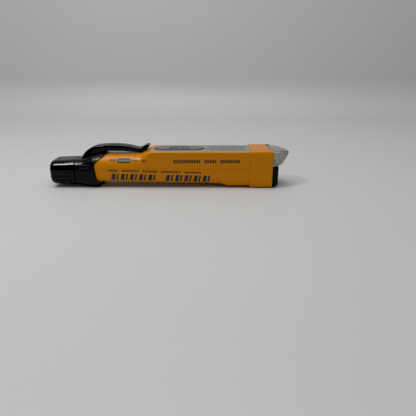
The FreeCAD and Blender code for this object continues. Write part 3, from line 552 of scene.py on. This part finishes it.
def housing_half(name, node, front):
    """The whole housing as a tube, cut to its front half or its rear half, with that half's openings."""
    outside = [housing.loop(x) for x in steps(TAIL, SHOULDER, 170)]
    nose = [spigot.loop(SHOULDER, place=SHOULDER + TINY), spigot.loop(HEAD_FRONT)]
    inside = [spigot_hollow.loop(HEAD_FRONT), spigot_hollow.loop(SHOULDER)]
    inside += [hollow.loop(x, place=x - TINY) for x in steps(SHOULDER, TAIL + TINY, 40)]
    shell = stitched(name, outside + nose + inside, ring=True)
    if front:
        cutters = [block("half", PAST_X, PAST_Y, (-5, PARTING + PARTING_GAP)),
                   prism("recess", panel_outline(PANEL_FIT), "z", PANEL_TOP - PANEL_DEPTH, 40),
                   block("display_hole", *DISPLAY_HOLE, 0.8)]
    else:
        cutters = [block("half", PAST_X, PAST_Y, (PARTING - PARTING_GAP, 40))]
        for x, y in SCREWS:
            cutters.append(prism("recess", circle(x, y, SCREW_RECESS), "z", -1, SCREW_SEAT))
        for x, y in circle(SOUND_X, 0, SOUND_RING, SOUND_HOLES):
            cutters.append(prism("sound_hole", circle(x, y, SOUND_HOLE, 20), "z", -1, SCREW_SEAT))
    combine(shell, cutters)
    settle(shell, "tester", look["orange"], "orange_plastic", node)


housing_half("orange_front_shell", "front_housing", True)
housing_half("orange_rear_shell", "rear_housing", False)


def screw_wells():
    """The round walls and floor of each screw's recess in the back."""
    top, bottom, outer, bore = 8.6, 5.2, 3.0, 1.3
    profile = [(top, outer), (bottom, outer), (bottom, SCREW_RECESS), (SCREW_SEAT, SCREW_RECESS),
               (SCREW_SEAT, bore), (top, bore)]
    for number, (x, y) in enumerate(SCREWS, 1):
        loops = [[(a, b, z) for a, b in circle(x, y, radius)] for z, radius in profile]
        well = stitched(f"screw_well_{number}", loops, ring=True)
        settle(well, "tester", look["orange"], "orange_plastic")


screw_wells()


NOTCH_BACK = 75.6
NOTCH_HALF = 10.5
LIP_GAP = 0.1


def head_block():
    """The thicker block round the head, notched in its roof for the tip's lip."""
    back = corner("head_collar", 0, "x")
    section = straight(back, HEAD_FRONT, HEAD_BLOCK)
    edge = 0.7
    rounding = round_over(edge, 5)
    loops = [section.loop(back, inset, back + along) for along, inset in rounding]
    loops += [section.loop(x) for x in steps(back + edge, HEAD_FRONT - edge, 10)[1:-1]]
    loops += [section.loop(back, inset, HEAD_FRONT - along) for along, inset in reversed(rounding)]
    bore = straight(back, HEAD_FRONT, HEAD_BORE)
    loops += [bore.loop(HEAD_FRONT), bore.loop(back)]
    piece = stitched("orange_head_block", loops, ring=True)
    combine(piece, [block("notch", (NOTCH_BACK, 84), (-NOTCH_HALF, NOTCH_HALF), (26, 33), 0.6)])
    settle(piece, "tester", look["orange"], "orange_plastic", "head_collar")


head_block()


# ---------------------------------------------------------------- black tail: collar, cap and clip

def seam_outline():
    """Everything ahead of the collar's front edge, which leans back and turns forward at its top."""
    middle, radius = (-50.92, 16.87), 5.25
    arc = [(middle[0] + radius * math.cos(turn), middle[1] + radius * math.sin(turn))
           for turn in steps(math.radians(129), math.radians(185), 14)]
    return [(-40.4, 33.4)] + arc + [(-53.45, -4.6), (0, -10), (0, 40)]


def flank_prism(name, outline, side, near, far):
    """An outline in X and Z, extruded on one flank between two distances from the middle."""
    return prism(name, outline, "y", *sorted((side * near, side * far)))


def collar():
    """The collar behind the housing, with a raised pad and a slot on each flank."""
    back, front = corner("tail_collar", 0, "x"), -46.0
    outer = Skin([(back, *CAP_JOINT), (-66.0, 12.9, 1.2, 21.6, 6.0, 7.8),
                  (-62.0, 13.2, 0.15, 23.4, 6.2, 9.0), (-59.5, 13.4, 0.0, 24.4, 6.4, 9.3),
                  (-57.5, 13.5, 0.0, 25.1, 6.5, 9.4), (front, 13.6, 0.0, 26.6, 6.5, 9.5)])
    mouth = straight(back, TAIL, COLLAR_MOUTH)
    loops = [outer.loop(back, inset, back + along) for along, inset in round_over(0.35)]
    loops += [outer.loop(x) for x in steps(back + 0.6, front, 44)]
    loops += [housing.loop(x, -0.04) for x in steps(front, TAIL, 30)]
    loops += [mouth.loop(TAIL, place=TAIL - TINY), mouth.loop(back)]
    piece = stitched("black_collar", loops, ring=True)
    pad = rounded_outline(-68.3, -57.4, 11.0, 18.2, 3.4, 3.4, flat=1)
    pad_face, slot_floor = 13.65, 13.1
    pads = [soften(flank_prism("pad", pad, side, 11.8, pad_face), 0.35) for side in (1, -1)]
    combine(piece, pads, "UNION")
    slot = rounded_outline(-66.4, -59.3, 14.0, 15.1, 0.5, 0.5, arc=5, flat=1)
    slots = [flank_prism("slot", slot, side, slot_floor, 14.5) for side in (1, -1)]
    heel_x, heel_round = -56.4, 8.0
    heel = [(heel_x + heel_round * math.sin(turn), -TINY + heel_round * (1 - math.cos(turn)))
            for turn in steps(0, 0.9, 8)]
    combine(piece, slots + [prism("seam", seam_outline(), "y", *PAST_Y),
                            prism("heel", heel + [(-40, 6), (-40, -2), (heel_x, -2)], "y", *PAST_Y)])
    settle(piece, "tester", look["grip"], "black_grip", "tail_collar")


collar()


def cap():
    """The battery cap: a cup with a well-rounded end and three grip grooves on each flank."""
    end, rim = corner("battery_cap", 0, "x"), corner("battery_cap", 1, "x")
    outer = Skin([(end, *CAP_END), (rim, *CAP_JOINT)])
    bore = straight(end, rim, CAP_BORE)
    edge, inner_end = 3.0, -89.3
    loops = [outer.loop(end, inset, end + along) for along, inset in round_over(edge, 9)]
    loops += [outer.loop(x) for x in steps(end + edge + 0.6, rim - 0.5, 20)]
    loops += [outer.loop(rim, inset, rim - along) for along, inset in reversed(round_over(0.35))]
    loops += [bore.loop(rim), bore.loop(end, place=inner_end)]
    piece = stitched("black_cap", loops)
    grooves = []
    groove_half, groove_round = 0.5, 0.49
    for z, groove_floor in ((12.6, 12.3), (9.4, 12.25), (6.2, 11.6)):
        outline = rounded_outline(-86.5, -74.5, z - groove_half, z + groove_half, groove_round, groove_round,
                                  arc=5, flat=1)
        for side in (1, -1):
            grooves.append(flank_prism("groove", outline, side, groove_floor, 14))
    combine(piece, grooves)
    settle(piece, "battery_cap", look["gloss"], "black_gloss", "battery_cap")


cap()


def smooth_rows(rows, count):
    """Rows of numbers with count steps of a smooth curve between each two."""
    padded = [rows[0]] + list(rows) + [rows[-1]]
    result = []
    for i in range(1, len(padded) - 2):
        p0, p1, p2, p3 = padded[i - 1:i + 3]
        for t in steps(0, 1, count)[:-1]:
            result.append(tuple(0.5 * (2 * b + (c - a) * t + (2 * a - 5 * b + 4 * c - d) * t ** 2
                                       + (3 * b - a - 3 * c + d) * t ** 3)
                                for a, b, c, d in zip(p0, p1, p2, p3)))
    return result + [rows[-1]]


def clip():
    """The pocket clip as one moulding: each row is its upper side, its lower side and its half width."""
    rows = [(-69.0, 19.6, -62.5, 18.2, 6.0), (-67.5, 22.3, -60.8, 19.6, 5.5),
            (-65.2, 25.5, -58.6, 21.4, 5.0), (-62.0, 28.2, -56.2, 23.4, 4.6),
            (-58.0, 30.2, -53.6, 25.2, 4.5), (-53.0, 31.45, -50.4, 26.4, 4.5),
            (-46.0, 31.95, -45.6, 26.95, 4.5), (-38.0, 31.8, -38.2, 26.95, 4.45),
            (-31.0, 31.1, -31.4, 26.75, 4.35), (-26.4, 30.0, -26.8, 26.15, 4.25),
            (-23.2, 29.45, -23.0, 25.8, 4.2), (-20.7, 30.0, -19.6, 26.3, 4.15),
            (-18.4, 31.2, -16.8, 28.3, 4.1), (-16.7, 31.9, -15.2, 30.2, 4.0)]
    end_round = 0.75
    samples = smooth_rows(rows, 6)
    shrink = [(end_round, 0.0)] * len(samples) + round_over(end_round, 5)[::-1][1:]
    samples += [samples[-1]] * (len(shrink) - len(samples))
    loops = []
    for (upper_x, upper_z, lower_x, lower_z, half), (along, inset) in zip(samples, shrink):
        rise = Vector((upper_x - lower_x, upper_z - lower_z))
        forward = Vector((rise.y, -rise.x)).normalized() * (end_round - along)
        height = rise.length
        crown = max(min(1.9, height * 0.45) - inset, 0.12)
        belly = max(min(0.6, height * 0.3) - inset, 0.1)
        inset = min(inset, height * 0.4)
        outline = rounded_outline(inset - half, half - inset, inset, height - inset, belly, crown,
                                  arc=6, flat=3)
        ring = []
        for y, up in outline:
            point = Vector((lower_x, lower_z)) + rise.normalized() * up + forward
            ring.append((point.x, y, point.y))
        loops.append(ring)
    piece = stitched("black_clip", loops)
    piece.data.materials.append(look["gloss"])
    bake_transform(piece)
    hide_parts("clip_root", "clip_arm")


clip()


# ---------------------------------------------------------------- nose: bezel, tip and optics

SEAT = 0.05


def nose():
    """The black lower nose with the seat of the optics window, and its plug inside the housing."""
    back, front = HEAD_FRONT + SEAT, corner("front_bezel", 1, "x")
    face = straight(back, front, NOSE_FACE)
    loops = [face.loop(back), face.loop(front - 0.9)]
    loops += [face.loop(front, inset, front - along) for along, inset in reversed(round_over(0.7, 5))]
    piece = stitched("black_nose_frame", loops)
    plug_start, plug_end = corner("front_bezel", 0, "x"), back + TINY
    plug = straight(plug_start, back, NOSE_PLUG)
    bore = straight(plug_start, back, NOSE_BORE)
    loops = [plug.loop(plug_start), plug.loop(plug_end), bore.loop(plug_end), bore.loop(plug_start)]
    ring = stitched("plug", loops, ring=True)
    hollow_end, window_back, past_front = 82.2, 82.95, 90
    openings = [prism("hollow", rounded_outline(-11.5, 11.5, 2.3, 15.65, 2.0, 0.4), "x", 70, hollow_end),
                prism("optics_hole", rounded_outline(-8.0, 8.0, 4.5, 14.3, 1.0, 1.0), "x", 80, past_front),
                prism("window_seat", rounded_outline(-9.25, 9.25, 3.25, 15.55, 1.2, 1.2), "x", window_back,
                      past_front)]
    combine(piece, openings)
    combine(piece, [ring], "UNION")
    settle(piece, "tester", look["bezel"], "black_bezel", "front_bezel")


nose()


def tip():
    """The hollow translucent upper nose: a lip over the housing's roof, a base and a pointed wedge."""
    back, end = HEAD_FRONT + SEAT, corner("sensing_tip", 1, "x")
    outer = Skin([(back, 12.8, 17.05, 28.6, 0.6, 3.0), (82.7, 12.75, 17.05, 28.6, 0.6, 3.0),
                  (83.5, 12.15, 17.2, 28.45, 1.0, 3.0), (85.3, 10.8, 17.5, 28.2, 1.6, 2.8),
                  (88.3, 7.4, 19.4, 27.6, 1.6, 2.2), (90.8, 4.7, 22.4, 27.0, 1.3, 1.5),
                  (end, 3.1, 24.3, 26.6, 1.0, 1.1)])
    inner = Skin([(back, 11.5, 18.3, 27.3, 0.4, 1.8), (82.3, 11.3, 18.4, 27.2, 0.4, 1.8),
                  (85.3, 9.4, 18.8, 26.9, 0.5, 1.6), (88.3, 6.0, 20.9, 26.3, 0.5, 1.2),
                  (90.6, 3.4, 23.6, 25.8, 0.4, 0.5)])
    end_round, inner_end = 0.9, 90.5
    loops = [outer.loop(end, inset, end - along) for along, inset in round_over(end_round, 5)]
    loops += [outer.loop(x) for x in steps(end - end_round - 0.2, back, 30)]
    loops += [inner.loop(x, place=x + TINY) for x in steps(back, inner_end, 16)]
    piece = stitched("smoke_tip", loops)
    lip_half = NOTCH_HALF - LIP_GAP
    lip = block("lip", (NOTCH_BACK + LIP_GAP, 80.0), (-lip_half, lip_half), (27.75, 28.6), 0.5)
    soften(lip, 0.25)
    combine(piece, [lip], "UNION")
    settle(piece, "tester", look["smoke"], "smoke_clear", "sensing_tip")


tip()


# ---------------------------------------------------------------- keys, marks and display

def key(name, body, node):
    """A soft round key with a shallow dish, its flange under the panel. Returns its dish's place."""
    low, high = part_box(node)
    centre = ((low.x + high.x) / 2 / MM, 0.0)
    bottom, top = low.z / MM, high.z / MM
    flange, radius, dish = 6.4, 5.65, 0.32
    profile = [(bottom, 0.0), (bottom, flange), (bottom + 0.7, flange), (bottom + 0.72, radius)]
    profile += [(top - along, radius - inset) for along, inset in reversed(round_over(0.5, 5))]
    profile += [(top - 0.06, 4.9), (top - 0.2, 4.5), (top - 0.3, 4.0), (top - dish, 3.4), (top - dish, 0.0)]
    piece = lathe(name, profile, centre, "z", 64)
    settle(piece, body, look["key"], "key_grey", node)
    return centre[0], top - dish


def arc_band(x, y, inner, outer, start, stop):
    """An open ring's outline, from one angle to another."""
    turns = [math.radians(turn) for turn in steps(start, stop, 28)]
    return ([(x + outer * math.cos(turn), y + outer * math.sin(turn)) for turn in turns]
            + [(x + inner * math.cos(turn), y + inner * math.sin(turn)) for turn in reversed(turns)])


def print_layer(z):
    """The limits of a thin printed layer on a face at this height, sunk a little into it."""
    return z - 0.02, z + 0.04


def symbols():
    """A plain on-off sign and a plain measuring arrow, printed in red on the keys."""
    x, z = key("grey_power_key", "power_key", "power_key")
    layer = print_layer(z)
    sign = prism("red_power_sign", arc_band(x, 0, 1.7, 2.35, 125, 415), "z", *layer)
    combine(sign, [block("bar", (x - 0.33, x + 0.33), (0.6, 2.7), layer)], "UNION")
    settle(sign, "power_key", look["ink_red"], None)
    x, z = key("grey_measure_key", "measure_key", "measure_key")
    layer = print_layer(z)
    arrow = block("red_measure_sign", (x - 1.9, x + 1.9), (-0.3, 0.3), layer)
    parts = []
    for side in (1, -1):
        ends = [(x + side * 1.3, -1.0), (x + side * 2.6, 0.0), (x + side * 1.3, 1.0)]
        parts.append(prism("head", ends[::side], "z", *layer))
        near, far = sorted((x + side * 2.8, x + side * 3.3))
        parts.append(block("stop", (near, far), (-1.6, 1.6), layer))
    combine(arrow, parts, "UNION")
    settle(arrow, "measure_key", look["ink_red"], None)


symbols()


def display():
    """The mask under the window, and the resting segments of the glass below it."""
    glass_top = corner("lcd_glass", 1, "z")
    corner_round = 0.8
    mask = block("black_display_mask", (29.8, 58.2), (-7.6, 7.6), (27.3, 27.5), corner_round)
    combine(mask, [block("clear_area", (32.0, 56.0), (-6.0, 6.0), (27, 28), corner_round)])
    settle(mask, "tester", look["ink_black"], None)
    flat, upright = (2.6, 0.6), (0.6, 2.9)
    digit = [(0.5, y, *flat) for y in (3.4, -0.3, -4.0)]
    digit += [(x, y, *upright) for y in (0.4, -3.3) for x in (0.0, 3.0)]
    first_digit, pitch = 33.6, 5.3
    bars = []
    for place in range(4):
        left = first_digit + place * pitch
        bars += [((left + x, left + x + wide), (y, y + tall)) for x, y, wide, tall in digit]
    tiles("grey_display_segments", bars, glass_top, "segment")


def tiles(name, areas, z, ink_name):
    """Flat printed rectangles on a face that looks along +Z, as one piece."""
    box_faces = ((3, 2, 1, 0), (4, 5, 6, 7), (0, 1, 5, 4), (1, 2, 6, 5), (2, 3, 7, 6), (3, 0, 4, 7))
    points, faces = [], []
    for x, y in areas:
        base = len(points)
        points += [(a, b, c) for c in (z - 0.03, z + 0.03) for a, b in
                   ((x[0], y[0]), (x[1], y[0]), (x[1], y[1]), (x[0], y[1]))]
        faces += [tuple(base + i for i in face) for face in box_faces]
    settle(new_piece(name, points, faces), "tester", look[ink_name], None)


display()


# ---------------------------------------------------------------- print on the flanks

PRINT_DEPTH = 0.08


def flank_print(name, areas, side, ink_name, lift=0.03):
    """Printed shapes that follow the housing's flank: each is (x0, x1, z0, z1, lean, slope)."""
    points, faces = [], []
    for x0, x1, z0, z1, lean, slope in areas:
        across = max(1, round((x1 - x0) / 1.5))
        up = max(1, round((z1 - z0) / 0.7))
        base = len(points)
        for depth in (lift, -PRINT_DEPTH):
            for row in range(up + 1):
                for column in range(across + 1):
                    height = z0 + (z1 - z0) * row / up
                    x = x0 + (x1 - x0) * column / across + lean * (height - z0)
                    z = height + slope * x
                    points.append((x, side * (housing.side(x, z) + depth), z))
        wide = across + 1
        sheet = wide * (up + 1)
        for row in range(up):
            for column in range(across):
                a = base + row * wide + column
                faces.append((a, a + 1, a + 1 + wide, a + wide))
                faces.append((a + sheet + wide, a + sheet + 1 + wide, a + sheet + 1, a + sheet))
        edge = [base + i for i in range(wide)] + [base + row * wide + across for row in range(1, up + 1)]
        edge += [base + up * wide + i for i in range(across - 1, -1, -1)]
        edge += [base + row * wide for row in range(up - 1, 0, -1)]
        for a, b in zip(edge, edge[1:] + edge[:1]):
            faces.append((b, a, a + sheet, b + sheet))
    piece = face_outwards(new_piece(name, points, faces))
    settle(piece, "tester", look[ink_name], None)


def dashes(start, groups, row, wide, gap, slope=0.0):
    """A row of small upright bars in groups, as a plain stand-in for a line of small print."""
    areas = []
    x = start
    for count in groups:
        for _ in range(count):
            areas.append((x, x + wide, *row, 0.0, slope))
            x += wide + gap
        x += 2.2 * gap + wide
    return areas


LINE_SLOPE = -0.024
BOLD_LEAN = 0.22

# The heights of each row of print: (bottom, top).
SMALL_ROW = (20.6, 22.2)
LINE_ROW = (19.6, 22.2)
BOX_ROW = (19.6, 22.7)
BOX_MARKS_ROW = (20.5, 21.8)
CAPTION_ROW = (12.1, 13.7)
BOLD_ROW = (5.6, 10.6)


def flank_marks():
    """Bars and blocks in place of print, the same on both flanks."""
    for side, label in ((-1, "near"), (1, "far")):
        small = dashes(-44.6, (4,), SMALL_ROW, 0.8, 0.6) + dashes(-28.0, (4, 3), SMALL_ROW, 0.8, 0.6)
        line = dashes(4.2, (11, 5, 8), LINE_ROW, 1.25, 0.62)
        caption = dashes(-45.5, (4, 7, 6, 8, 7), CAPTION_ROW, 1.15, 0.72, LINE_SLOPE)
        flank_print(f"small_print_{label}", small + line + caption, side, "ink_black")
        flank_print(f"label_box_{label}", [(-38.4, -29.0, *BOX_ROW, 0, 0)], side, "ink_black")
        inner = dashes(-37.4, (6,), BOX_MARKS_ROW, 0.85, 0.55)
        flank_print(f"label_box_marks_{label}", inner, side, "ink_pale", 0.06)
        bold = []
        for x in [first + 7.0 * i for first in (-44.0, -2.5) for i in range(5)]:
            for start, stop in ((0.0, 2.7), (3.7, 5.1)):
                bold.append((x + start, x + stop, *BOLD_ROW, BOLD_LEAN, LINE_SLOPE))
        flank_print(f"bold_marks_{label}", bold, side, "ink_navy")


flank_marks()


# ---------------------------------------------------------------- cells

def cell(node):
    """A round cell: a sleeve and a band over a plated can. The right cell lies the other way round."""
    low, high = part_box(node)
    centre = ((low.y + high.y) / 2 / MM, (low.z + high.z) / 2 / MM)
    flip = node == "cell_right"
    start, stop = (high.x / MM, low.x / MM) if flip else (low.x / MM, high.x / MM)
    away = 1 if stop > start else -1
    radius = (high.z - low.z) / 2 / MM

    def turned(name, profile, material, *replaced):
        piece = lathe(name, [(start + away * along, ring) for along, ring in profile], centre, "x", 64)
        settle(piece, node, look[material], "cell_wrap", *replaced)

    can = [(0.0, 0.0), (0.0, 3.4), (0.12, 3.6), (0.12, 4.3), (0.0, 4.5), (0.1, 4.85), (0.35, 5.0),
           (43.0, 5.0), (43.4, 4.7), (43.5, 4.2), (43.3, 3.9), (43.2, 2.2), (43.4, 1.95), (44.3, 1.9),
           (44.5, 1.6), (44.5, 0.0)]
    turned(f"{node}_can", can, "steel", node)
    sleeve_end = 33.0
    turned(f"{node}_sleeve", [(0.3, 4.6), (0.3, 5.05), (0.5, radius), (sleeve_end, radius),
                              (sleeve_end, 5.0)], "sleeve")
    turned(f"{node}_band", [(sleeve_end, 5.0), (sleeve_end, radius), (42.9, radius), (43.2, 5.0),
                            (43.2, 4.6)], "band")


for cell_node in ("cell_left", "cell_right"):
    cell(cell_node)


# ---------------------------------------------------------------- looks of the CAD pieces that stay

kept = {
    "panel": ["front_panel"],
    "surround": ["key_surround"],
    "green_lamp": ["indicator_lens", "tip_led_green"],
    "red_lamp": ["tip_led_red"],
    "window": ["display_window", "optics_window"],
    "lens": ["laser_lens", "receiver_lens"],
    "liquid": ["lcd_glass"],
    "white": ["lcd_backlight"],
    "board": ["main_board", "receiver_board"],
    "brass": ["laser_barrel"],
    "steel": ["shield_can", "power_switch", "measure_switch", "housing_screws", "board_screws"],
    "nickel": ["antenna_plate", "cap_contact", "cap_spring", "negative_spring", "positive_contact",
               "negative_contact"],
    "rubber": ["cap_seal", "lcd_connector_strips"],
    "inner": ["battery_frame", "optics_frame", "photodetector", "buzzer", "board_chips", "power_plunger",
              "measure_plunger"],
}
for look_name, nodes in kept.items():
    for node_name in nodes:
        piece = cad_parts[node_name]
        piece.data.materials.clear()
        piece.data.materials.append(look[look_name])


# ---------------------------------------------------------------- stage, light and camera

def plain(name, colour, rough):
    """A smooth painted surface with a trace of unevenness."""
    material, tree, shader, place = new_material(name, Roughness=rough)
    drift = noise(tree, place, 9.0, 3.0)
    darker = [part * 0.985 for part in colour]
    tree.links.new(tint(tree, remap(tree, drift, 0.0, 1.0), darker, colour), shader.inputs["Base Color"])
    return material


def stage():
    """A pale floor with a low wall behind it, joined by a soft curve."""
    wall_y, bend, reach, height = 430.0, 60.0, 4000.0, 600.0
    path = [(-reach, 0.0), (wall_y - bend, 0.0)]
    path += [(wall_y - bend + bend * math.sin(turn), bend - bend * math.cos(turn))
             for turn in steps(0, math.pi / 2, 12)][1:]
    path.append((wall_y, height))
    points = [(x, y, z) for x in (-reach, reach) for y, z in path]
    count = len(path)
    faces = [(i, i + count, i + count + 1, i + 1) for i in range(count - 1)]
    floor = new_piece("floor", points, faces)
    floor.data.materials.append(plain("floor_paint", (0.60, 0.605, 0.59), 0.5))


stage()


def soft_light(name, place, target, size, power):
    """A rectangular light at a place, turned towards its target."""
    light = bpy.data.lights.new(name, "AREA")
    light.shape = "RECTANGLE"
    light.size, light.size_y = [side * MM for side in size]
    light.energy = power
    lamp = bpy.data.objects.new(name, light)
    lamp.location = Vector(place) * MM
    lamp.rotation_euler = (Vector(target) * MM - lamp.location).to_track_quat("-Z", "Y").to_euler()
    bpy.context.scene.collection.objects.link(lamp)


soft_light("ceiling", (-60, 0, 900), (0, 200, 0), (700, 500), 3.8)
soft_light("key_strip", (-268, -170, 490), (-60, 0, 15), (34, 110), 0.75)


def surroundings():
    """A pale, slightly cool sky, and a view with a low black point."""
    world = bpy.data.worlds.new("studio")
    world.use_nodes = True
    background = world.node_tree.nodes["Background"]
    background.inputs["Color"].default_value = (0.92, 0.95, 1.0, 1)
    background.inputs["Strength"].default_value = 0.30
    bpy.context.scene.world = world
    view = bpy.context.scene.view_settings
    view.view_transform = "Standard"
    view.use_curve_mapping = True
    view.curve_mapping.black_level = (0.010, 0.010, 0.010)
    view.curve_mapping.update()


surroundings()

CAMERA_PLACE = (29.9, -306.5, 94.0)
CAMERA_DROP = 20.6


def add_camera():
    """The camera in front of the near flank, looking down along +Y."""
    camera = bpy.data.cameras.new("camera")
    camera.sensor_width = 36.0
    camera.lens = 34.6
    camera_object = bpy.data.objects.new("camera", camera)
    camera_object.location = Vector(CAMERA_PLACE) * MM
    camera_object.rotation_euler = (math.radians(90 - CAMERA_DROP), 0, 0)
    bpy.context.scene.collection.objects.link(camera_object)
    bpy.context.scene.camera = camera_object


add_camera()
